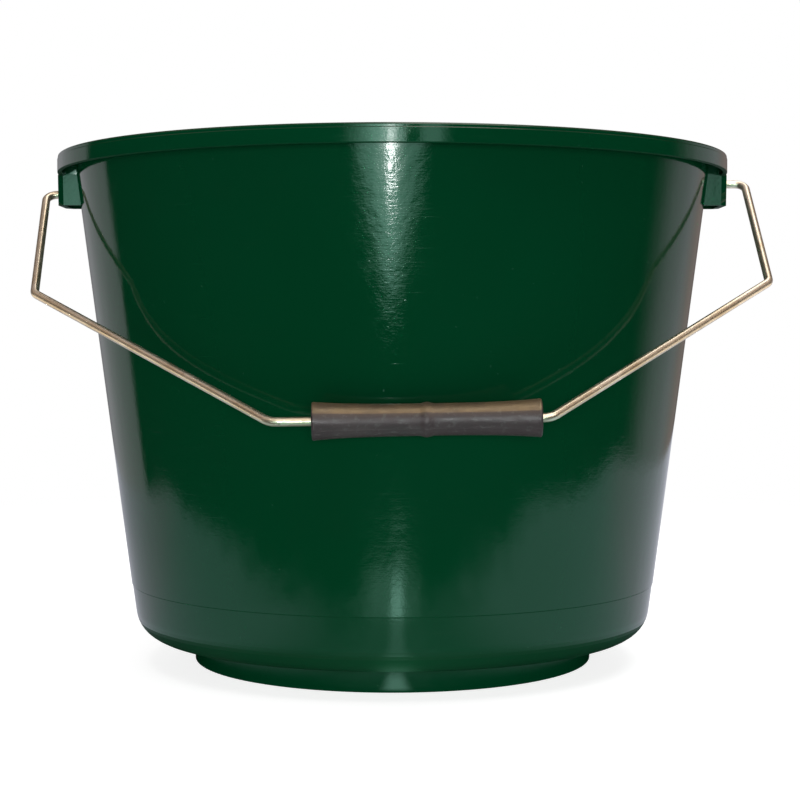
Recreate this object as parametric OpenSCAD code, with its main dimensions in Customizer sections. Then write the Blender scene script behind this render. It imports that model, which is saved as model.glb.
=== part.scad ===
// Feed bucket: one moulded tub, one bent wire bail, and one loose plastic grip on the wire.
//
// Units are millimetres. The origin is on the ground, on the tub's axis. +Z is up, the
// front is -Y, and the two ears that carry the bail are at -X and +X. The bail is drawn
// as it lies at rest, swung forward until the grip is against the front of the wall.

/* [Tub] */
// Outer radius of the rim
rim_r = 165; // [160:1:170]
// Height from the ground to the top of the rim
height = 248; // [244:1:254]
// Outer radius that the wall would have at the height of the rim's top
wall_r = 156.9; // [154:0.1:158]
// Draft of the wall, in degrees from vertical
wall_draft = 7.3; // [6.5:0.1:7.6]
// Thickness of the wall, the floor and the rim's flange
wall = 2.5; // [2:0.1:3]
// Outer radius of the rounded corner between the wall and the underside
corner_r = 20; // [16:1:22]

/* [Rim] */
// Height of the band that turns down round the rim
band_h = 8.4; // [7:0.1:10]
// Thickness of that band
band_t = 2.2; // [1.8:0.1:2.6]
// Rounding of the band's top outer edge
band_edge_r = 1.9; // [1:0.1:2]

/* [Foot ring] */
// Outer radius of the ring that the tub stands on
foot_r = 99; // [94:1:102]
// Height of the ring, which is also the height of the tub's underside
foot_h = 12.5; // [10:0.5:14]
// Thickness of the ring
foot_t = 3; // [2.5:0.1:4]
// Chamfer on the ring's lower edges
foot_chamfer = 0.8; // [0.4:0.1:1]

/* [Ears] */
// Distance from the tub's axis to the flat outer face of each ear
ear_out = 165.5; // [165.2:0.1:166]
// Half of an ear's width at its top
ear_half_w = 14.5; // [12:0.5:18]
// How much narrower each side of an ear gets towards its bottom
ear_taper = 1.2; // [0.4:0.1:2]
// Height of the ears' lower edge
ear_z = 225.3; // [224:0.1:227]
// Thickness of an ear's outer plate
ear_plate_t = 3.2; // [2.8:0.1:3.6]
// Thickness of an ear's two side webs
ear_web_t = 2.4; // [2:0.1:3]
// Chamfer down the two outer corners of an ear
ear_chamfer = 3.1; // [2:0.1:4]
// Height that an ear's plate laps up over the rim's band
ear_lap = 0.8; // [0.5:0.1:1.5]
// Half of the width of the slot that a pin turns in
slot_r = 2.5; // [2.4:0.1:3]
// Distance between the centres of the slot's two round ends
slot_travel = 5.7; // [5.6:0.1:6]

/* [Bail] */
// Diameter of the wire
wire_d = 4; // [3.6:0.1:4.4]
// Height of the hinge line where it crosses the tub's axis
hinge_z = 234.05; // [233.9:0.05:234.2]
// How far the hinge line is out of level, because the pins have play in their slots, in degrees
hinge_tilt = 0.9; // [0:0.1:0.9]
// Swing forward from hanging straight down to lying against the wall, in degrees
rest_swing = 53.9; // [53.9:0.1:56]
// Half of the distance between the two legs at the pins
leg_top_x = 174.9; // [174:0.1:176]
// Half of the distance between the two shoulders
shoulder_x = 170; // [168:0.1:172]
// Distance of the shoulders from the hinge line
shoulder_w = 86.7; // [80:0.1:92]
// Half of the length of the straight run that carries the grip
run_x = 59.1; // [57:0.1:62]
// Distance of that run from the hinge line
run_w = 184.4; // [184.4:0.1:186]
// How far the bail has slid to the right in its ears
side_play = 1.7; // [0:0.1:2]
// How far the hand-bent wire leans to the right for each millimetre from the hinge line
lean = 0.022; // [0:0.002:0.024]
// Length of each turned-in pin, from the leg's centre line
pin_len = 17; // [16:0.5:17]
// Centre-line radius of the bends at the pins and at the shoulders
tight_bend_r = 5; // [4:0.5:6]
// Centre-line radius of the bends at the ends of the run
run_bend_r = 9; // [7:0.5:10]
// How much the wire's radius swells where it is bent
bend_swell = 0.03; // [0.02:0.01:0.05]

/* [Grip] */
// Length of the grip
grip_len = 96.5; // [92:0.5:98]
// Diameter at its two ends
grip_end_d = 16.4; // [15:0.1:16.4]
// Diameter of each half at its narrowest
grip_waist_d = 13.7; // [12.5:0.1:14]
// Diameter of the ridge round its middle
grip_ridge_d = 14.9; // [14.5:0.1:16]
// Half of the width of that ridge
grip_ridge_w = 3.4; // [2:0.1:4]
// Diameter of the hole through it
grip_bore_d = 5.2; // [4.8:0.1:5.6]
// How far the grip has slid to the right along the run
grip_slide = 6.9; // [0:0.1:7]

/* [Hidden] */
$fn = 96;

green = "darkgreen";
zinc = "silver";
black = "dimgray";

wire_r = wire_d / 2;
band_z = height - band_h;
channel_top = height - wall;
slot_z = hinge_z - slot_travel / 2;
ear_top = band_z + ear_lap;
// The centre of the corner's arc, which touches the underside and the wall
corner_z = foot_h + corner_r;
corner_x = wall_r_at(corner_z) - corner_r / cos(wall_draft);
// Room past the solid for a shape that is only a cut
past = 5;
// How far a straight length of wire runs into the bends beside it
lap = 0.2;

// Outer radius of the wall at a height z
function wall_r_at(z) = wall_r - (height - z) * tan(wall_draft);

// ---- Tub ---------------------------------------------------------------------------

// Half section of the tub's solid outline, set in from the outside by a distance
module tub_outline(inset, top) {
    r = corner_r - inset;
    translate([corner_x, corner_z]) circle(r);
    polygon([
        [0, corner_z - r],
        [corner_x, corner_z - r],
        [corner_x + r * cos(wall_draft), corner_z - r * sin(wall_draft)],
        [wall_r_at(top) - inset / cos(wall_draft), top],
        [0, top],
    ]);
}

// Half section of the flange and the band that turns down from it
module rim_section() {
    flat_r = rim_r - band_edge_r;
    inner_r = wall_r_at(channel_top) - wall;
    difference() {
        union() {
            translate([inner_r, band_z]) square([flat_r - inner_r, band_h]);
            translate([inner_r, band_z]) square([rim_r - inner_r, band_h - band_edge_r]);
            translate([flat_r, height - band_edge_r]) circle(band_edge_r);
        }
        translate([0, band_z - past]) square([rim_r - band_t, channel_top - band_z + past]);
    }
}

// Half section of the ring that the tub stands on
module foot_section() {
    c = foot_chamfer;
    inner_r = foot_r - foot_t;
    polygon([
        [inner_r, c], [inner_r + c, 0], [foot_r - c, 0], [foot_r, c],
        [foot_r, foot_h + wall / 2], [inner_r, foot_h + wall / 2],
    ]);
}

// Half section of the whole moulding, without its ears
module tub_section() {
    difference() {
        union() {
            tub_outline(0, height);
            rim_section();
        }
        tub_outline(wall, height + past);
    }
    foot_section();
}

// Solid block of an ear, set in on its sides by one distance and on its plate by another
module ear_block(side, plate, low, top, out) {
    start = rim_r - 20;
    top_y = ear_half_w - side;
    low_y = top_y - ear_taper;
    edge = min(ear_chamfer, out - plate - start);
    intersection() {
        translate([0, 0, low]) linear_extrude(top - low) polygon([
            [start, -top_y], [out - plate - edge, -top_y], [out - plate, edge - top_y],
            [out - plate, top_y - edge], [out - plate - edge, top_y], [start, top_y],
        ]);
        translate([start - 1, 0, 0]) rotate([90, 0, 90]) linear_extrude(out) polygon([
            [-low_y, low], [low_y, low], [top_y, top], [-top_y, top],
        ]);
    }
}

// Slot through an ear's plate, from out - 2 * ear_plate_t outwards
module ear_slot() {
    translate([ear_out - 2 * ear_plate_t, 0, slot_z]) rotate([90, 0, 90]) {
        for (step = [0, slot_travel])
            translate([0, step, 0]) cylinder(h = 4 * ear_plate_t, r = slot_r);
        translate([-slot_r, 0, 0]) cube([2 * slot_r, slot_travel, 4 * ear_plate_t]);
    }
}

// One hollow ear, open below, that hangs from the flange and stands off the wall
module ear() {
    difference() {
        union() {
            ear_block(0, 0, ear_z, ear_top, ear_out);
            ear_block(0, 0, ear_z + past, channel_top + wall / 2, rim_r - band_t / 2);
        }
        ear_block(ear_web_t, ear_plate_t, ear_z - past, channel_top, ear_out);
        ear_slot();
        rotate_extrude() tub_outline(wall / 2, height + past);
    }
}

module bucket() {
    color(green) {
        rotate_extrude() tub_section();
        ear();
        mirror([1, 0, 0]) ear();
    }
}

// ---- Bail --------------------------------------------------------------------------

// Places what is drawn about the hinge line, hanging straight down, as it is at rest
module at_rest() {
    translate([0, 0, hinge_z]) rotate([0, -hinge_tilt, 0]) rotate([-rest_swing, 0, 0])
        children();
}

// Place of a point of the wire that is x to the side and w from the hinge line
function wire_point(x, w) = [x + side_play + lean * w, -w];

// The wire's corners, from the left pin's end to the right pin's end, and their bend radii
wire_path = [
    wire_point(pin_len - leg_top_x, 0), wire_point(-leg_top_x, 0),
    wire_point(-shoulder_x, shoulder_w), wire_point(-run_x, run_w),
    wire_point(run_x, run_w), wire_point(shoulder_x, shoulder_w),
    wire_point(leg_top_x, 0), wire_point(leg_top_x - pin_len, 0),
];
wire_bends = [0, tight_bend_r, tight_bend_r, run_bend_r, run_bend_r, tight_bend_r, tight_bend_r, 0];

// Direction of the wire as it leaves corner i, in degrees, and its turn at that corner
function heading(i) = let (d = wire_path[i + 1] - wire_path[i]) atan2(d.y, d.x);
function turn(i) = let (t = heading(i) - heading(i - 1)) t > 180 ? t - 360 : t < -180 ? t + 360 : t;
// Length of straight wire that the bend at corner i takes up on each side of it
function taken(i) = wire_bends[i] == 0 ? 0 : wire_bends[i] * tan(abs(turn(i)) / 2);

// Straight length of wire that leaves corner i
module wire_straight(i) {
    length = norm(wire_path[i + 1] - wire_path[i]) - taken(i) - taken(i + 1);
    translate(wire_path[i]) rotate([0, 0, heading(i)]) translate([taken(i) - lap, 0, 0])
        rotate([0, 90, 0]) cylinder(h = length + 2 * lap, r = wire_r);
}

// Round bend of the wire at corner i, which always turns to the left
module wire_bend(i) {
    r = wire_bends[i];
    translate(wire_path[i]) rotate([0, 0, heading(i - 1)]) translate([-taken(i), r, 0])
        rotate([0, 0, -90]) rotate_extrude(angle = turn(i)) translate([r, 0])
            circle(wire_r + bend_swell);
}

module bail() {
    last = len(wire_path) - 1;
    color(zinc) at_rest() rotate([90, 0, 0]) {
        for (i = [0 : last - 1]) wire_straight(i);
        for (i = [1 : last - 1]) wire_bend(i);
    }
}

// ---- Grip --------------------------------------------------------------------------

// Radius of the grip at a distance u from its middle: a ridge, then a waist that flares
function grip_r(u) = let (a = abs(u), flare = (a - grip_ridge_w) / (grip_len / 2 - grip_ridge_w))
    a < grip_ridge_w
        ? grip_waist_d / 2 + (grip_ridge_d - grip_waist_d) / 2 * (1 + cos(180 * a / grip_ridge_w)) / 2
        : grip_waist_d / 2 + (grip_end_d - grip_waist_d) / 2 * pow(flare, 3);

module grip() {
    half = grip_len / 2;
    steps = concat([for (a = [-half : half / 8 : -half / 8]) a], [-3, -2, -1, 0, 1, 2, 3],
                   [for (a = [half / 8 : half / 8 : half + 0.01]) a]);
    centre = wire_point(grip_slide, run_w);
    color(black) at_rest() translate([centre.x, 0, centre.y]) rotate([0, 90, 0])
        rotate_extrude() difference() {
            polygon(concat([[0, -half]], [for (u = steps) [grip_r(u), u]], [[0, half]]));
            translate([0, -half - past]) square([grip_bore_d / 2, grip_len + 2 * past]);
        }
}

bucket();
bail();
grip();
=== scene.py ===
"""Feed bucket: the visual model, lit and framed like a studio product shot."""
from math import acos, ceil, cos, hypot, pi, radians, sin, tan

import bmesh
import bpy
from mathutils import Matrix, Vector


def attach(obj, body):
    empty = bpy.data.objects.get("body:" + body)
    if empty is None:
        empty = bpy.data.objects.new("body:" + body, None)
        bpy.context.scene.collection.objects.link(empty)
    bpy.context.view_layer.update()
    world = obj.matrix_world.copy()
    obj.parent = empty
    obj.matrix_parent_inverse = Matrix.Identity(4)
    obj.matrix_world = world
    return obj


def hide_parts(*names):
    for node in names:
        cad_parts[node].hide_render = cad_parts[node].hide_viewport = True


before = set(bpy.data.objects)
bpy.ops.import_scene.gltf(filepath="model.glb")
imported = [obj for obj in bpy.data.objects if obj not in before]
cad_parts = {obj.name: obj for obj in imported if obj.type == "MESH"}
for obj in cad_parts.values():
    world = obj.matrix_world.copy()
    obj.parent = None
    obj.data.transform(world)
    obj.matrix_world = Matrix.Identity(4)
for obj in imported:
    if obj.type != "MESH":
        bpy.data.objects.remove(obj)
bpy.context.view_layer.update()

MM = 0.001

# ---- Sizes, in millimetres, as in the part's own design -----------------------------

RIM_R, HEIGHT, WALL_R, DRAFT, WALL = 165.0, 248.0, 156.9, radians(7.3), 2.5
CORNER_R = 20.0
BAND_H, BAND_T, BAND_EDGE_R = 8.4, 2.2, 1.9
FOOT_R, FOOT_H, FOOT_T = 99.0, 12.5, 3.0
EAR_OUT, EAR_HALF_W, EAR_TAPER, EAR_Z, EAR_TOP = 165.5, 14.5, 1.2, 225.3, 240.4
EAR_PLATE_T, EAR_WEB_T, EAR_CHAMFER = 3.2, 2.4, 3.1
SLOT_R, SLOT_TRAVEL = 2.5, 5.7
WIRE_R, HINGE_Z, HINGE_TILT, REST_SWING = 2.0, 234.05, radians(0.9), radians(53.9)
LEG_TOP_X, SHOULDER_X, SHOULDER_W, RUN_X, RUN_W = 174.9, 170.0, 86.7, 59.1, 184.4
LEG_BEND_R, RUN_BEND_R = 5.0, 9.0
SIDE_PLAY, LEAN, PIN_LEN = 1.7, 0.022, 17.0
GRIP_LEN, GRIP_END_D, GRIP_WAIST_D, GRIP_RIDGE_D = 96.5, 16.4, 13.7, 14.9
GRIP_RIDGE_W, GRIP_BORE_D, GRIP_SLIDE = 3.4, 5.2, 6.9

BAND_Z = HEIGHT - BAND_H
CHANNEL_TOP = HEIGHT - WALL

# small details that the design leaves out: a fine step round the wall, a gate mark in a dimple under
# the floor, a low round pip on it, rounded ear edges, and two seams along the grip
STEP_Z, STEP_H, STEP_IN = 38.8, 0.35, 0.3
GATE_R, GATE_DROP, DIMPLE_R, DIMPLE_H = 1.5, 0.6, 9.0, 0.4
PIP_R, PIP_H = 5.6, 0.35
EAR_BEVEL = 0.42
SEAM_H, SEAM_HALF_ANGLE, SEAM_ANGLES = 0.13, radians(1.2), (radians(85), radians(265))
# the wire's rounded tip, as (distance from its end, how much it is thinner there)
WIRE_TIP = ((0.0, 0.6), (0.12, 0.28), (0.45, 0.0))

# reach of the blocks and cutters that an ear is made with
EAR_ROOT, EAR_UPPER_Z = 0.7, EAR_Z + 6
POCKET_FROM_X, POCKET_FROM_Z = 140, EAR_Z - 5
SLOT_CUT_X, SLOT_CUT_HALF = EAR_OUT - 1.5, 6


def wall_at(z, inset=0.0):
    """Radius of the wall at height z, set in by inset, measured square to the wall."""
    return WALL_R - (HEIGHT - z) * tan(DRAFT) - inset / cos(DRAFT)


# ---- Mesh helpers --------------------------------------------------------------------

def rounded(points, step=radians(11), support=0.35):
    """Rounds the corners of an open path of (x, y, radius), with support points by each arc."""
    out = [points[0][:2]]
    for (x0, y0, _), (x1, y1, r), (x2, y2, _) in zip(points, points[1:], points[2:]):
        corner = Vector((x1, y1))
        a, b = Vector((x0 - x1, y0 - y1)), Vector((x2 - x1, y2 - y1))
        la, lb = a.length, b.length
        a.normalize()
        b.normalize()
        turn = pi - acos(max(-1.0, min(1.0, a.dot(b))))
        if r <= 0 or turn < 1e-4:
            out.append((x1, y1))
            continue
        cut = r * tan(turn / 2)
        room = 0.48 * min(la, lb)
        if cut > room:
            r, cut = r * room / cut, room
        centre = corner + (a + b).normalized() * (r / cos(turn / 2))
        start, end = corner + a * cut, corner + b * cut
        s, e = start - centre, end - centre
        n = max(3, ceil(turn / step))
        gap = min(support, 0.4 * (min(la, lb) - cut))
        if gap > 0.02:
            out.append(tuple(start + a * gap))
        for i in range(n + 1):
            t = i / n
            w0, w1 = sin((1 - t) * turn) / sin(turn), sin(t * turn) / sin(turn)
            out.append(tuple(centre + s * w0 + e * w1))
        if gap > 0.02:
            out.append(tuple(end + b * gap))
    out.append(points[-1][:2])
    return out


def subdivided(path, longest):
    """Splits the spans of a path that are over longest."""
    out = [path[0]]
    for (x0, y0), (x1, y1) in zip(path, path[1:]):
        n = max(1, ceil(hypot(x1 - x0, y1 - y0) / longest))
        out += [(x0 + (x1 - x0) * i / n, y0 + (y1 - y0) * i / n) for i in range(1, n + 1)]
    return out


def object_from(name, bm, matrix=None, smooth_below=radians(32)):
    """Makes an object from a mesh in millimetres, placed by matrix and scaled to metres."""
    bmesh.ops.recalc_face_normals(bm, faces=bm.faces)
    mesh = bpy.data.meshes.new(name)
    bm.to_mesh(mesh)
    bm.free()
    mesh.transform(Matrix.Scale(MM, 4) @ (matrix or Matrix()))
    mesh.polygons.foreach_set("use_smooth", [True] * len(mesh.polygons))
    mesh.set_sharp_from_angle(angle=smooth_below)
    obj = bpy.data.objects.new(name, mesh)
    bpy.context.scene.collection.objects.link(obj)
    return obj


def lathe(bm, path, segments, closed=False, bulge=None):
    """Turns a path of (radius, height) about Z. bulge(angle, radius) is added to the radius."""
    rings = []
    for r, z in path:
        if r < 1e-6:
            rings.append([bm.verts.new((0, 0, z))])
            continue
        ring = []
        for i in range(segments):
            a = 2 * pi * i / segments
            grown = r + (bulge(a, r) if bulge else 0.0)
            ring.append(bm.verts.new((grown * cos(a), grown * sin(a), z)))
        rings.append(ring)
    pairs = list(zip(rings, rings[1:]))
    if closed:
        pairs.append((rings[-1], rings[0]))
    for low, high in pairs:
        for i in range(segments):
            j = (i + 1) % segments
            if len(low) == 1:
                bm.faces.new((low[0], high[i], high[j]))
            elif len(high) == 1:
                bm.faces.new((low[i], high[0], low[j]))
            else:
                bm.faces.new((low[i], high[i], high[j], low[j]))


def prism(bm, low, high, z0, z1):
    """Closed prism between two outlines of the same number of points."""
    bottom = [bm.verts.new((x, y, z0)) for x, y in low]
    top = [bm.verts.new((x, y, z1)) for x, y in high]
    n = len(bottom)
    bm.faces.new(bottom[::-1])
    bm.faces.new(top)
    for i in range(n):
        j = (i + 1) % n
        bm.faces.new((bottom[i], bottom[j], top[j], top[i]))


def bake(obj):
    """Applies the modifiers of an object to its mesh."""
    graph = bpy.context.evaluated_depsgraph_get()
    graph.update()
    mesh = bpy.data.meshes.new_from_object(obj.evaluated_get(graph))
    old = obj.data
    obj.modifiers.clear()
    obj.data = mesh
    mesh.name = obj.name
    bpy.data.meshes.remove(old)


def boolean(target, cutter, operation):
    """Applies an exact boolean to target and removes the cutter."""
    mod = target.modifiers.new("boolean", "BOOLEAN")
    mod.operation = operation
    mod.object = cutter
    mod.solver = "EXACT"
    bake(target)
    bpy.data.objects.remove(cutter, do_unlink=True)


# ---- Tub -----------------------------------------------------------------------------

def tub_path():
    """Half section of the moulding, from the middle of its underside round to the middle of its floor."""
    ring_in = FOOT_R - FOOT_T
    corner = wall_at(FOOT_H) - 0.5
    floor_top = FOOT_H + WALL
    band_top = HEIGHT - BAND_EDGE_R
    edge_in = 0.25
    underside = [
        (0, FOOT_H - GATE_DROP, 0), (GATE_R, FOOT_H - GATE_DROP, 0.3),
        (GATE_R + 0.4, FOOT_H + DIMPLE_H, 0.25), (DIMPLE_R, FOOT_H + DIMPLE_H, 0.3),
        (DIMPLE_R + 0.6, FOOT_H, 0.3)]
    foot = [(ring_in, FOOT_H, 0.8), (ring_in, 0, 0.8), (FOOT_R, 0, 0.8), (FOOT_R, FOOT_H, 0.5)]
    outside = [
        (corner, FOOT_H, CORNER_R - 0.4), (wall_at(STEP_Z) - STEP_IN, STEP_Z, 0.12),
        (wall_at(STEP_Z + STEP_H), STEP_Z + STEP_H, 0.15), (wall_at(CHANNEL_TOP), CHANNEL_TOP, 0.8)]
    band = [
        (RIM_R - BAND_T, CHANNEL_TOP, 0.6), (RIM_R - BAND_T, BAND_Z, 0.5), (RIM_R, BAND_Z, 0.55),
        (RIM_R, band_top - 0.1, 0.2), (RIM_R - edge_in, band_top + 0.15, 0.12),
        (RIM_R - edge_in, HEIGHT, BAND_EDGE_R - edge_in)]
    inside = [
        (wall_at(HEIGHT, WALL), HEIGHT, 1.0), (wall_at(floor_top, WALL), floor_top, CORNER_R - WALL),
        (PIP_R + 0.4, floor_top, 0.4), (PIP_R, floor_top + PIP_H, 0.3), (0, floor_top + PIP_H, 0)]
    return rounded(underside + foot + outside + band + inside, step=radians(7.5))


def make_tub():
    bm = bmesh.new()
    lathe(bm, subdivided(tub_path(), longest=14), segments=320)
    return object_from("tub_shell", bm, smooth_below=radians(40))


# ---- Ears ----------------------------------------------------------------------------

def ear_half_w(z):
    """Half the width of an ear at height z. It narrows downwards."""
    return EAR_HALF_W - EAR_TAPER * (EAR_TOP - z) / (EAR_TOP - EAR_Z)


def ear_outline(z, out):
    """Plan of an ear at height z, from inside the wall to out, with chamfered outer corners."""
    half_w, c = ear_half_w(z), EAR_CHAMFER
    start = wall_at(z, WALL * 0.55) - EAR_ROOT
    return [(start, -half_w), (out - c, -half_w), (out, c - half_w),
            (out, half_w - c), (out - c, half_w), (start, half_w)]


def ear_block(name, z0, z1, out):
    """Solid with an ear's outline, from height z0 to z1."""
    bm = bmesh.new()
    prism(bm, ear_outline(z0, out), ear_outline(z1, out), z0, z1)
    return object_from(name, bm)


def ear_pocket():
    """Cutter for the hollow behind the outer plate."""
    end, half_w = EAR_OUT - EAR_PLATE_T, ear_half_w(EAR_Z) - EAR_WEB_T
    outline = [(POCKET_FROM_X, -half_w), (end, -half_w), (end, half_w), (POCKET_FROM_X, half_w)]
    bm = bmesh.new()
    prism(bm, outline, outline, POCKET_FROM_Z, CHANNEL_TOP)
    return object_from("cutter", bm)


def ear_slot():
    """Cutter for the slot that the bail's pin turns in."""
    outline = []
    for centre, first in ((SLOT_TRAVEL / 2, 0.0), (-SLOT_TRAVEL / 2, pi)):
        for i in range(21):
            a = first + pi * i / 20
            outline.append((SLOT_R * cos(a), centre + SLOT_R * sin(a)))
    bm = bmesh.new()
    prism(bm, outline, outline, -SLOT_CUT_HALF, SLOT_CUT_HALF)
    across = Matrix.Translation((SLOT_CUT_X, 0, HINGE_Z)) @ Matrix.Rotation(pi / 2, 4, "Z") \
        @ Matrix.Rotation(pi / 2, 4, "X")
    return object_from("cutter", bm, across)


def make_ear(name, side):
    """Ear on the side +1 or -1 of the bucket: a plate and two webs that run up under the rim."""
    ear = ear_block(name, EAR_Z, EAR_TOP, EAR_OUT)
    boolean(ear, ear_block("cutter", EAR_UPPER_Z, CHANNEL_TOP + WALL / 2, RIM_R - BAND_T / 2), "UNION")
    boolean(ear, ear_pocket(), "DIFFERENCE")
    boolean(ear, ear_slot(), "DIFFERENCE")
    bevel = ear.modifiers.new("bevel", "BEVEL")
    bevel.width = EAR_BEVEL * MM
    bevel.segments = 3
    bevel.limit_method = "ANGLE"
    bevel.angle_limit = radians(25)
    bevel.use_clamp_overlap = True
    bevel.miter_outer = "MITER_ARC"
    bevel.harden_normals = False
    bake(ear)
    weighted = ear.modifiers.new("normals", "WEIGHTED_NORMAL")
    weighted.keep_sharp = True
    ear.data.polygons.foreach_set("use_smooth", [True] * len(ear.data.polygons))
    ear.data.set_sharp_from_angle(angle=radians(50))
    bake(ear)
    if side < 0:
        ear.data.transform(Matrix.Scale(-1, 4, (1, 0, 0)))
        ear.data.flip_normals()
    return ear


# ---- Bail ----------------------------------------------------------------------------

# from the bail's own plane, x to the side and y up, to where it lies at rest
AT_REST = Matrix.Translation((0, 0, HINGE_Z)) @ Matrix.Rotation(-HINGE_TILT, 4, "Y") \
    @ Matrix.Rotation(-REST_SWING, 4, "X") @ Matrix.Rotation(pi / 2, 4, "X")


def wire_point(x, w):
    """Place in the bail's plane of a point x to the side and w from the hinge line."""
    return x + SIDE_PLAY + LEAN * w, -w


def bail_line():
    """Middle line of the wire, from the left pin's tip to the right one's."""
    half = [(LEG_TOP_X - PIN_LEN, 0, 0), (LEG_TOP_X, 0, LEG_BEND_R),
            (SHOULDER_X, SHOULDER_W, LEG_BEND_R), (RUN_X, RUN_W, RUN_BEND_R)]
    left = [(*wire_point(-x, w), r) for x, w, r in half]
    right = [(*wire_point(x, w), r) for x, w, r in half[::-1]]
    path = rounded(left + right, step=radians(4), support=0.6)
    return [Vector(p) for p in subdivided(path, longest=12)]


def make_bail():
    line, sides = bail_line(), 28
    last = len(line) - 1
    bm = bmesh.new()
    rings = []
    for i, p in enumerate(line):
        along = (line[min(i + 1, last)] - line[max(i - 1, 0)]).normalized()
        across = Vector((-along.y, along.x))
        steps = [(0.0, 0.0)]
        if i == 0:
            steps = WIRE_TIP
        elif i == last:
            steps = [(-shift, inset) for shift, inset in WIRE_TIP[::-1]]
        for shift, inset in steps:
            c, r = p + along * shift, WIRE_R - inset
            angles = [2 * pi * k / sides for k in range(sides)]
            rings.append([bm.verts.new((*(c + across * (r * cos(a))), r * sin(a))) for a in angles])
    for low, high in zip(rings, rings[1:]):
        for k in range(sides):
            j = (k + 1) % sides
            bm.faces.new((low[k], low[j], high[j], high[k]))
    bm.faces.new(rings[0][::-1])
    bm.faces.new(rings[-1])
    return object_from("bail_wire", bm, AT_REST, smooth_below=radians(38))


# ---- Grip ----------------------------------------------------------------------------

def grip_r(u):
    """Outer radius of the grip at u from its middle: a raised ridge, a waist and flared ends."""
    a = abs(u)
    if a < GRIP_RIDGE_W:
        rise = (GRIP_RIDGE_D - GRIP_WAIST_D) / 2
        return GRIP_WAIST_D / 2 + rise * (1 + cos(pi * a / GRIP_RIDGE_W)) / 2
    flare = (a - GRIP_RIDGE_W) / (GRIP_LEN / 2 - GRIP_RIDGE_W)
    return GRIP_WAIST_D / 2 + (GRIP_END_D - GRIP_WAIST_D) / 2 * flare ** 3


def grip_path():
    """Closed half section of the grip, as (radius, distance from its middle)."""
    half, bore, end_r = GRIP_LEN / 2, GRIP_BORE_D / 2, GRIP_END_D / 2
    end = [(bore, half - 1.2), (bore + 0.5, half - 0.5), (bore + 1.1, half - 0.35),
           (end_r - 2.2, half - 0.25), (end_r - 1.2, half - 0.04), (end_r - 0.75, half),
           (end_r - 0.38, half - 0.12), (end_r - 0.12, half - 0.38), (end_r - 0.02, half - 0.8)]
    first, spans = half - 1.6, 22
    body = [first - (first - GRIP_RIDGE_W) * i / spans for i in range(spans + 1)]
    ridge = [GRIP_RIDGE_W - 0.2 - 0.425 * i for i in range(16)]
    top = end + [(grip_r(u), u) for u in body]
    return top + [(grip_r(u), u) for u in ridge] + [(r, -u) for r, u in top[::-1]]


def mould_seam(angle, r):
    """Height of the two fine seams along the grip, which its bore doesn't have."""
    near = min(abs(angle - seam) for seam in SEAM_ANGLES)
    return SEAM_H if near < SEAM_HALF_ANGLE and r > GRIP_BORE_D / 2 + 2 else 0.0


def make_grip():
    bm = bmesh.new()
    lathe(bm, grip_path(), segments=144, closed=True, bulge=mould_seam)
    x, y = wire_point(GRIP_SLIDE, RUN_W)
    place = AT_REST @ Matrix.Translation((x, y, 0)) @ Matrix.Rotation(pi / 2, 4, "Y")
    return object_from("grip_tube", bm, place, smooth_below=radians(38))


# ---- Node helpers --------------------------------------------------------------------

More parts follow.
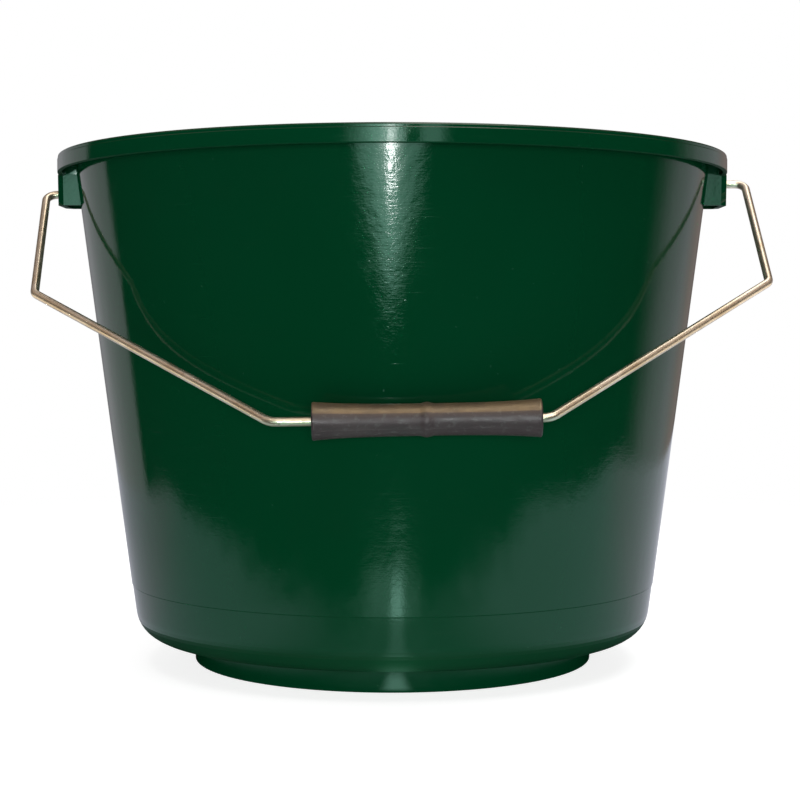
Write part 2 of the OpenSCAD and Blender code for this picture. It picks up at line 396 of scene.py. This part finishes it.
class Nodes:
    """Wires up a node tree from expressions. A value is a socket or a number."""

    def __init__(self, tree):
        self.tree = tree
        tree.nodes.clear()

    def add(self, kind, inputs=None, **settings):
        node = self.tree.nodes.new(kind)
        for key, value in settings.items():
            setattr(node, key, value)
        for key, value in (inputs or {}).items():
            self.put(node.inputs[key], value)
        return node

    def put(self, socket, value):
        if isinstance(value, bpy.types.NodeSocket):
            self.tree.links.new(value, socket)
        elif isinstance(value, (tuple, list)) and len(value) == 3 and socket.type == "RGBA":
            socket.default_value = (*value, 1.0)
        else:
            socket.default_value = value

    def math(self, operation, a, b=0.0, clamp=False):
        node = self.add("ShaderNodeMath", {0: a, 1: b}, operation=operation)
        node.use_clamp = clamp
        return node.outputs[0]

    def times(self, first, *others):
        for value in others:
            first = self.math("MULTIPLY", first, value)
        return first

    def plus(self, first, *others):
        for value in others:
            first = self.math("ADD", first, value)
        return first

    def away(self, value, centre=0.0):
        """Distance of a value from a centre."""
        return self.math("ABSOLUTE", self.math("ADD", value, -centre))

    def smooth(self, value, low, high, to_low=0.0, to_high=1.0, kind="SMOOTHSTEP"):
        """Goes from to_low at low to to_high at high, and stays level past both. low may be above high."""
        inputs = {"Value": value, "From Min": low, "From Max": high, "To Min": to_low, "To Max": to_high}
        return self.add("ShaderNodeMapRange", inputs, interpolation_type=kind).outputs["Result"]

    def between(self, value, low, high, blur_low, blur_high):
        """1 from low to high, fading to 0 over a blur below low and one above high."""
        return self.times(self.smooth(value, low - blur_low, low), self.smooth(value, high + blur_high, high))

    def noise(self, vector, scale, detail=2.0, rough=0.5, distortion=0.0):
        inputs = {"Vector": vector, "Scale": scale, "Detail": detail, "Roughness": rough,
                  "Distortion": distortion}
        return self.add("ShaderNodeTexNoise", inputs).outputs["Fac"]

    def stretched_noise(self, vector, scales, detail=2.0, rough=0.5, distortion=0.0, rotation=(0, 0, 0)):
        """Noise with its own scale along each axis."""
        return self.noise(self.stretch(vector, scales, rotation), 1.0, detail, rough, distortion)

    def stretch(self, vector, scales, rotation=(0, 0, 0)):
        inputs = {"Vector": vector, "Scale": scales, "Rotation": rotation}
        return self.add("ShaderNodeMapping", inputs).outputs[0]

    def split(self, vector):
        return self.add("ShaderNodeSeparateXYZ", {0: vector}).outputs

    def mix(self, fac, a, b):
        node = self.add("ShaderNodeMix", data_type="RGBA")
        self.put(node.inputs[0], fac)
        self.put(node.inputs[6], a)
        self.put(node.inputs[7], b)
        return node.outputs[2]

    def bump(self, height, strength, distance, over=None):
        inputs = {"Height": height, "Strength": strength, "Distance": distance}
        if over is not None:
            inputs["Normal"] = over
        return self.add("ShaderNodeBump", inputs).outputs[0]

    def shader_mix(self, fac, a, b):
        return self.add("ShaderNodeMixShader", {0: fac, 1: a, 2: b}).outputs[0]

    def shader_sum(self, a, b):
        return self.add("ShaderNodeAddShader", {0: a, 1: b}).outputs[0]

    def emission(self, strength, colour=(1, 1, 1)):
        return self.add("ShaderNodeEmission", {"Color": colour, "Strength": strength}).outputs[0]

    def background(self, colour):
        return self.add("ShaderNodeBackground", {"Color": colour, "Strength": 1.0}).outputs[0]


# ---- Materials -----------------------------------------------------------------------

GREEN_DEEP, GREEN_LIGHT = (0.0003, 0.0335, 0.0113), (0.0004, 0.0375, 0.0132)
GREEN_WORN = (0.05, 0.14, 0.09)
ZINC_BRIGHT, ZINC_DULL, ZINC_SPOT = (0.76, 0.67, 0.55), (0.62, 0.5, 0.35), (0.3, 0.22, 0.15)
BLACK_DEEP, BLACK_LIGHT = (0.029, 0.0225, 0.024), (0.036, 0.029, 0.03)
BLACK_WORN, BLACK_CHAFED = (0.065, 0.055, 0.054), (0.085, 0.088, 0.086)
# tan of the grip's upper side: dust, and a painted reflection of the warm lamp
DUST_AND_SHEEN = (0.16, 0.105, 0.05)
# specular levels: the open surface's, and the low one that paints shade on the undersides
SHADED_UNDER_LEVEL, GLOSS_LEVEL = 0.06, 0.5


def material(name):
    """New material, with its nodes, its shader and the place on the object."""
    mat = bpy.data.materials.new(name)
    mat.use_nodes = True
    n = Nodes(mat.node_tree)
    shader = n.add("ShaderNodeBsdfPrincipled")
    n.add("ShaderNodeOutputMaterial", {0: shader.outputs[0]})
    return mat, n, shader, n.add("ShaderNodeTexCoord").outputs["Object"]


def dust_specks(n, place):
    """Small ragged specks, on a few of a cell pattern's cells."""
    shake = n.add("ShaderNodeTexNoise", {"Vector": place, "Scale": 900.0}).outputs["Color"]
    shaken = n.add("ShaderNodeVectorMath", {0: place, 1: n.stretch(shake, (0.0012, 0.0012, 0.0012))},
                   operation="ADD").outputs[0]
    cells = n.add("ShaderNodeTexVoronoi", {"Vector": shaken, "Scale": 330.0, "Randomness": 1.0}).outputs
    chosen = n.add("ShaderNodeSeparateColor", {0: cells["Color"]}).outputs[0]
    return n.times(n.smooth(cells["Distance"], 0.17, 0.06, kind="LINEAR"), n.smooth(chosen, 0.93, 0.99))


def green_plastic():
    """Glossy moulded plastic, finely scratched and rubbed in patches, with painted shade on its undersides,
    where it reflects less and more blurred.
    """
    mat, n, shader, place = material("green_moulding")
    smudge = n.noise(place, 16, detail=4, rough=0.6, distortion=0.6)
    rubbed = n.smooth(n.noise(place, 38, detail=5, rough=0.65, distortion=1.2), 0.52, 0.72)
    streak = n.stretched_noise(place, (26, 26, 900), detail=4, rough=0.65, distortion=0.25)
    streak = n.smooth(streak, 0.58, 0.78)
    ripple = n.stretched_noise(place, (190, 190, 1500), detail=3, rough=0.65, distortion=0.4)
    slanting = (radians(38), radians(-24), 0)
    slant = n.stretched_noise(place, (30, 30, 700), detail=3, rough=0.6, rotation=slanting)
    slant = n.smooth(slant, 0.68, 0.8)
    speck = dust_specks(n, place)
    worn = n.times(n.math("MAXIMUM", streak, slant), n.smooth(smudge, 0.42, 0.62))

    light = n.math("ADD", n.times(speck, 0.25), n.times(worn, 0.03), clamp=True)
    base = n.mix(n.smooth(n.noise(place, 7), 0.3, 0.7), GREEN_DEEP, GREEN_LIGHT)
    n.put(shader.inputs["Base Color"], n.mix(light, base, GREEN_WORN))

    # painted shade: faces turned down reflect less and blur more, darkening the underside of the rim's band
    facing = n.split(n.add("ShaderNodeNewGeometry").outputs["True Normal"])[2]
    shaded_under = n.smooth(facing, -0.22, -0.52)
    n.put(shader.inputs["Specular IOR Level"], n.smooth(shaded_under, 0, 1, GLOSS_LEVEL, SHADED_UNDER_LEVEL, "LINEAR"))
    rough = n.plus(n.smooth(smudge, 0.3, 0.75, 0.04, 0.08), n.times(rubbed, 0.05), n.times(worn, 0.12))
    n.put(shader.inputs["Roughness"], n.math("ADD", rough, n.times(shaded_under, 0.5), clamp=True))
    shader.inputs["IOR"].default_value = 1.5

    scratches = n.plus(n.times(streak, -0.12), n.times(ripple, 0.25), n.times(slant, -0.3))
    scratches = n.plus(scratches, n.times(speck, 0.4))
    grain = n.bump(scratches, strength=0.32, distance=0.00012)
    fine = n.noise(place, 430, detail=3, rough=0.65, distortion=0.3)
    coarse = n.noise(place, 210, detail=3, rough=0.6, distortion=0.5)
    blotch = n.bump(n.plus(fine, n.times(coarse, 0.6)), strength=0.32, distance=0.00007, over=grain)
    wave = n.noise(n.stretch(place, (1, 1, 0.6)), 34, detail=3, rough=0.55, distortion=0.4)
    n.put(shader.inputs["Normal"], n.bump(wave, strength=0.25, distance=0.0006, over=blotch))
    return mat


def zinc_wire():
    """Drawn wire, zinc plated, with dull patches and darker spots."""
    mat, n, shader, place = material("zinc_wire")
    dull = n.smooth(n.noise(place, 60, detail=4, rough=0.6), 0.35, 0.7)
    spots = n.smooth(n.noise(place, 230, detail=3, rough=0.6), 0.6, 0.76)
    base = n.mix(dull, ZINC_BRIGHT, ZINC_DULL)
    n.put(shader.inputs["Base Color"], n.mix(n.times(spots, 0.5), base, ZINC_SPOT))
    shader.inputs["Metallic"].default_value = 0.9
    rough = n.smooth(n.noise(place, 150, detail=3, rough=0.6), 0.3, 0.75, 0.26, 0.38)
    n.put(shader.inputs["Roughness"], rough)
    drawn = n.stretched_noise(place, (90, 500, 500), detail=3, rough=0.6)
    n.put(shader.inputs["Normal"], n.bump(drawn, strength=0.25, distance=0.00006))
    return mat


def black_plastic():
    """Grained plastic, worn along its length, with a tan strip along the side that is up at rest: dust, and a
    painted reflection of the warm lamp above.
    """
    mat, n, shader, place = material("black_moulding")
    cloud = n.noise(place, 70, detail=4, rough=0.6)
    worn = n.smooth(n.stretched_noise(place, (110, 420, 420), detail=4, rough=0.65), 0.56, 0.76)
    chafed = n.smooth(n.stretched_noise(place, (420, 640, 640), detail=2, rough=0.6), 0.56, 0.7)
    base = n.mix(n.smooth(cloud, 0.35, 0.7), BLACK_DEEP, BLACK_LIGHT)
    base = n.mix(n.times(worn, 0.35), base, BLACK_WORN)
    base = n.mix(n.times(chafed, 0.4), base, BLACK_CHAFED)
    # dust and painted reflection: the side facing up in the grip's own frame is tinted tan, like the warm
    # lamp's sheen on it
    upward = n.split(n.add("ShaderNodeTexCoord").outputs["Normal"])[2]
    dust_and_sheen = n.times(n.smooth(upward, 0.42, 0.47), n.smooth(cloud, 0.3, 0.7, 0.3, 0.75))
    n.put(shader.inputs["Base Color"], n.mix(dust_and_sheen, base, DUST_AND_SHEEN))
    shader.inputs["Specular IOR Level"].default_value = 0.34
    shader.inputs["Specular Tint"].default_value = (1.0, 0.88, 0.93, 1.0)
    rough = n.smooth(n.noise(place, 260, detail=3, rough=0.6), 0.35, 0.65, 0.34, 0.5)
    n.put(shader.inputs["Roughness"], rough)
    grain = n.stretched_noise(place, (520, 760, 760), detail=3, rough=0.6)
    n.put(shader.inputs["Normal"], n.bump(grain, strength=0.45, distance=0.00022))
    return mat


# ---- World ---------------------------------------------------------------------------

# colours of the world's parts; the floor's streak has the same greenish one
GREENISH = (0.5, 1.0, 0.82)
CORE = (0.97, 1.0, 0.99)
BACKDROP_LEFT, BACKDROP_RIGHT, BACKDROP_FAR = (0.96, 0.93, 1.0), (0.93, 0.89, 0.99), (0.75, 0.58, 0.56)
ROOM, ABOVE, SKY = (1.0, 0.7, 0.47), (1.0, 0.88, 0.86), (1.0, 0.96, 0.9)
WINDOW, LAMP = (1.0, 0.96, 0.88), (1.0, 0.95, 0.86)
DARK, DIM, WHITE = (0.004, 0.0045, 0.0045), (0.16, 0.16, 0.16), (1, 1, 1)

# directions are in degrees: az turns right from straight in front of the bucket, el is the height over
# the horizon, and pitch turns up from straight in front, over the top and on to the back
GLOW_AZ = -0.6


def backdrops(n, az, el):
    """Pale sheets behind the bucket at both sides, mirrored in the sides of the wall."""
    level = n.times(n.between(el, -26, 9, 8, 11), n.smooth(n.away(az), 178, 150, 0.04, 0.44))
    left = n.times(n.smooth(az, -119.5, -124), level)
    right = n.times(n.smooth(az, 103, 125), level)
    far = n.smooth(az, 136, 153)
    near = n.math("SUBTRACT", 1.0, far)
    return [(left, BACKDROP_LEFT), (n.times(right, near), BACKDROP_RIGHT),
            (n.times(right, far), BACKDROP_FAR)]


def surroundings(n, way, az, el, pitch, ray):
    """Brown room, grey above it, sky and window in front and a lamp overhead. They show in the wire,
    the grip and the rim, and faintly where one mirror image shows in another."""
    once = n.smooth(ray["Glossy Depth"], 2, 1, 0.12, 1.0, "LINEAR")
    ahead = n.times(n.smooth(n.away(az), 140, 70, 0.3, 1.0), once)
    room = n.times(n.between(el, 22, 50, 11, 12), ahead, 0.26)
    above = n.times(n.smooth(el, 34, 50), once, 0.34)
    sky = n.times(n.between(pitch, 28, 50, 14, 7), n.smooth(n.away(way[0]), 0.3, 0.12), once)
    window = n.times(n.between(az, 6, 42, 4, 12), n.between(el, 20, 48, 5, 8), once, 2.6)
    lamp = n.times(n.between(way[0], 0.0, 0.3, 0.04, 0.08), n.between(pitch, 62, 118, 6, 14), once, 2.4)
    return [(room, ROOM), (above, ABOVE), (sky, SKY), (lamp, LAMP), (window, WINDOW)]


def front_glow(n, az, el):
    """Glow in front, narrowing downwards, with a bright core. The rim's band mirrors a part of its
    own, with a gap in it, and the lower wall a faint column."""
    aside = n.away(az, GLOW_AZ)
    half_w = n.smooth(el, -13.6, -8.3, 1.2, 11.5, "LINEAR")
    spread = n.math("DIVIDE", aside, half_w)
    patch = n.plus(n.smooth(spread, 1.25, 0.85, 0.0, 2.0), n.smooth(spread, 0.9, 0.1))
    patch = n.times(patch, n.smooth(az, -1, 5, 1.4, 0.98), n.smooth(el, -13.4, -11.9), n.smooth(el, -2, -4))
    core = n.plus(n.smooth(aside, 1.0, 0.1, 0.0, 85.0), n.smooth(aside, 6, 1, 0.0, 3.5))
    core = n.times(core, n.smooth(el, -9.4, -8.6), n.smooth(el, 14, 9), n.smooth(el, 2, -4, 0.3, 1.0))
    band = n.math("MAXIMUM", n.times(n.smooth(az, -17, -9), n.smooth(az, 5, 2)), n.between(az, 10, 14, 2, 5))
    band = n.times(band, n.between(el, -2, 11, 2, 4), n.smooth(n.away(az, -1.5), 10, 1, 1.7, 5.0))
    column = n.plus(n.smooth(n.away(az, 2.5), 5, 0), n.times(n.smooth(n.away(az), 16, 4), 0.5))
    column = n.times(column, n.smooth(el, -20.8, -22.6))
    return [(patch, GREENISH), (core, CORE), (band, GREENISH), (column, GREENISH)]


def make_world():
    """Three worlds in one: for mirror rays the studio's lights, for others dim grey, for the camera white."""
    world = bpy.data.worlds.new("studio")
    bpy.context.scene.world = world
    world.use_nodes = True
    world.cycles.sampling_method = "NONE"
    n = Nodes(world.node_tree)
    ray = n.add("ShaderNodeLightPath").outputs
    way = n.split(n.add("ShaderNodeTexCoord").outputs["Generated"])
    to_degrees = 180 / pi
    forward = n.times(way[1], -1.0)
    az = n.times(n.math("ARCTAN2", way[0], forward), to_degrees)
    el = n.times(n.math("ARCSINE", way[2]), to_degrees)
    pitch = n.times(n.math("ARCTAN2", way[2], forward), to_degrees)

    glossy = n.background(DARK)
    for strength, colour in (backdrops(n, az, el) + surroundings(n, way, az, el, pitch, ray)
                             + front_glow(n, az, el)):
        parts = {i: n.times(strength, part) for i, part in enumerate(colour)}
        tinted = n.add("ShaderNodeCombineColor", parts).outputs[0]
        glossy = n.shader_sum(glossy, n.background(tinted))
    mirrored = n.shader_mix(ray["Is Glossy Ray"], n.background(DIM), glossy)
    n.add("ShaderNodeOutputWorld", {0: n.shader_mix(ray["Is Camera Ray"], mirrored, n.background(WHITE))})


# ---- Floor ---------------------------------------------------------------------------

# how far the floor reaches each way, in millimetres as for all meshes; its shaders count in metres
FLOOR_REACH = 8000
SHEET_X = 0.045
SHEET_NEAR, SHEET_FAR = (0.66, 1.0, 1.02), (0.9, 0.91, 1.04)


def pale_sheet(n, place, x, y):
    """What the lower wall mirrors: a pale sheet with ragged edges, its front corners cut off. Past it
    the floor is clear, so the world shows."""
    out = n.add("ShaderNodeVectorMath", {0: place}, operation="LENGTH").outputs["Value"]
    aside = n.away(x, SHEET_X)
    ragged = n.times(n.plus(n.noise(place, 22, detail=3, rough=0.6), -0.5), 0.09)
    corner = n.plus(n.math("SUBTRACT", aside, y), ragged)
    front = n.plus(y, n.times(x, 0.147), ragged)
    sheet = n.times(n.smooth(corner, 0.565, 0.49), n.smooth(front, -0.27, -0.185), n.smooth(aside, 0.58, 0.5))
    middle = n.math("MAXIMUM", n.smooth(n.away(x), 0.03, 0.14, 0.3, 1.0), n.smooth(y, -0.02, 0.05))
    bright = n.times(n.smooth(out, 0.112, 0.155), n.smooth(x, -0.35, 0.35, 0.5, 0.68, "LINEAR"), middle)
    tint = n.mix(n.smooth(y, -0.12, 0.06), SHEET_NEAR, SHEET_FAR)
    clear = n.add("ShaderNodeBsdfTransparent").outputs[0]
    return n.shader_mix(sheet, clear, n.emission(bright, tint))


def floor_streak(n, place, x, y):
    """Bright beam with a torn halo, in front: dimmer from 0.215 m inwards, and bright again by the foot."""
    farther = n.smooth(y, -0.215, -0.2195, 0.25, 1.0)
    by_foot = n.smooth(y, -0.165, -0.122, 0.0, 1.05)
    beam = n.smooth(n.away(n.plus(x, n.times(y, 0.018))), 0.011, 0.002)
    beam = n.times(beam, n.smooth(y, -0.29, -0.232, 0.0, 2.5), n.math("MAXIMUM", farther, by_foot))
    torn = n.times(n.plus(n.noise(place, 90, detail=3, rough=0.7), -0.5), 0.09)
    halo = n.smooth(n.plus(n.away(x, -0.004), torn), 0.056, 0.01)
    halo = n.times(halo, n.smooth(n.plus(y, torn), -0.3, -0.26), n.smooth(y, -0.214, -0.22, 0.16, 0.72))
    return n.emission(n.times(n.plus(beam, halo), n.smooth(y, -0.1, -0.112)), GREENISH)


def floor_light(n, place):
    """What lights the bucket from below: a grey floor with a pool of light in front."""
    pool_middle = (0.0, -0.33, 0.0)
    away = n.add("ShaderNodeVectorMath", {0: place, 1: pool_middle}, operation="DISTANCE").outputs["Value"]
    grey = n.add("ShaderNodeBsdfDiffuse", {"Color": (0.34, 0.34, 0.34)}).outputs[0]
    return n.shader_sum(grey, n.emission(n.smooth(away, 0.38, 0.08, 0.0, 1.2)))


def floor_seen(n, place):
    """What the camera sees: white, with a faint shadow near the bucket."""
    out = n.add("ShaderNodeVectorMath", {0: place}, operation="LENGTH").outputs["Value"]
    shaded = n.add("ShaderNodeBsdfDiffuse", {"Color": (0.55, 0.55, 0.55)}).outputs[0]
    near = n.shader_sum(shaded, n.emission(0.82))
    return n.shader_mix(n.smooth(out, 0.4, 0.9), near, n.emission(1.0))


def make_floor():
    bm = bmesh.new()
    bmesh.ops.create_grid(bm, x_segments=1, y_segments=1, size=FLOOR_REACH)
    floor = object_from("floor", bm)
    mat = bpy.data.materials.new("studio_floor")
    mat.use_nodes = True
    n = Nodes(mat.node_tree)
    place = n.add("ShaderNodeTexCoord").outputs["Object"]
    x, y, _ = n.split(place)
    ray = n.add("ShaderNodeLightPath").outputs
    mirrored = n.shader_sum(pale_sheet(n, place, x, y), floor_streak(n, place, x, y))
    both = n.shader_mix(ray["Is Glossy Ray"], floor_seen(n, place), mirrored)
    both = n.shader_mix(ray["Is Diffuse Ray"], both, floor_light(n, place))
    n.add("ShaderNodeOutputMaterial", {0: both})
    floor.data.materials.append(mat)


# ---- Lights and camera ---------------------------------------------------------------

FACING_BACK, FACING_FRONT = (pi / 2, 0, 0), (-pi / 2, 0, 0)
WARM, COOL, CREAM = (1.0, 0.82, 0.4), (0.93, 1.0, 1.0), (1.0, 0.88, 0.7)
# lens and sensor in millimetres, the rest in metres and radians
LENS, SENSOR = 79.62, 36
CAMERA_PLACE = (0, -0.8903, 0.16)
CAMERA_DOWN, CAMERA_TURN = 0.0353, -0.0042


def area_light(name, size, place, turn, radiance):
    """Rectangular lamp, as bright to look at whatever its size: its power grows with its area."""
    data = bpy.data.lights.new(name, "AREA")
    data.shape = "RECTANGLE"
    data.size, data.size_y = size
    data.energy = radiance * pi * size[0] * size[1]
    lamp = bpy.data.objects.new(name, data)
    lamp.location = place
    lamp.rotation_euler = turn
    bpy.context.scene.collection.objects.link(lamp)
    return lamp


def make_studio_lights():
    """Lights for the diffuse colour alone, so no reflection shows them."""
    for name, size, place, turn, radiance in (
            ("softbox", (1.8, 1.8), (0.15, -0.35, 1.9), (radians(-10), radians(4), 0), 2.5),
            ("front_key", (1.4, 0.7), (0, -2.4, 0.3), FACING_BACK, 8.6),
            ("back_fill", (1.4, 0.7), (0, 2.4, 0.5), FACING_FRONT, 7.0)):
        lamp = area_light(name, size, place, turn, radiance)
        lamp.visible_glossy = False


def make_sheen_lights(piece, by_mirror_rays, lights):
    """Lights for the sheen of one piece: nothing else takes their light. by_mirror_rays tells whether
    the piece's own mirror rays look for them too."""
    for name, size, place, turn, radiance, colour in lights:
        lamp = area_light(name, size, place, turn, radiance)
        lamp.visible_diffuse = False
        lamp.visible_camera = False
        lamp.data.color = colour
        lamp.data.cycles.max_bounces = 0
        lamp.data.cycles.use_multiple_importance_sampling = by_mirror_rays
        only = bpy.data.collections.new(name + "_on")
        only.objects.link(piece)
        lamp.light_linking.receiver_collection = only


def make_camera():
    data = bpy.data.cameras.new("camera")
    data.lens, data.sensor_width = LENS, SENSOR
    camera = bpy.data.objects.new("camera", data)
    camera.location = CAMERA_PLACE
    camera.rotation_euler = (pi / 2 - CAMERA_DOWN, 0, CAMERA_TURN)
    bpy.context.scene.collection.objects.link(camera)
    bpy.context.scene.camera = camera


# ---- The scene -----------------------------------------------------------------------

make_camera()
green, zinc, black = green_plastic(), zinc_wire(), black_plastic()
bail, grip = make_bail(), make_grip()
for piece, body, node, slot, mat in (
        (make_tub(), "bucket", "bucket", "green_moulding", green),
        (make_ear("ear_left", -1), "bucket", "bucket", "green_moulding", green),
        (make_ear("ear_right", 1), "bucket", "bucket", "green_moulding", green),
        (bail, "bail", "bail", "zinc_wire", zinc),
        (grip, "grip", "grip", "black_moulding", black)):
    piece.data.materials.clear()
    piece.data.materials.append(mat)
    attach(piece, body)
    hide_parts(node)
make_world()
make_floor()
make_studio_lights()
make_sheen_lights(grip, False, (
    ("warm_top", (1.0, 0.42), (0.06, -0.294, 0.708), (radians(14), 0, 0), 7.5, WARM),
    ("front_strip", (0.8, 0.1), (0.0, -0.5, 0.13), FACING_BACK, 4.0, COOL)))
make_sheen_lights(bail, True, (
    ("low_left", (0.3, 0.5), (-0.5, 0.0, 0.03), (0, radians(-125), 0), 1.1, CREAM),
    ("low_right", (0.3, 0.5), (0.5, 0.0, 0.03), (0, radians(125), 0), 1.1, CREAM)))
bpy.context.scene.view_settings.view_transform = "Standard"
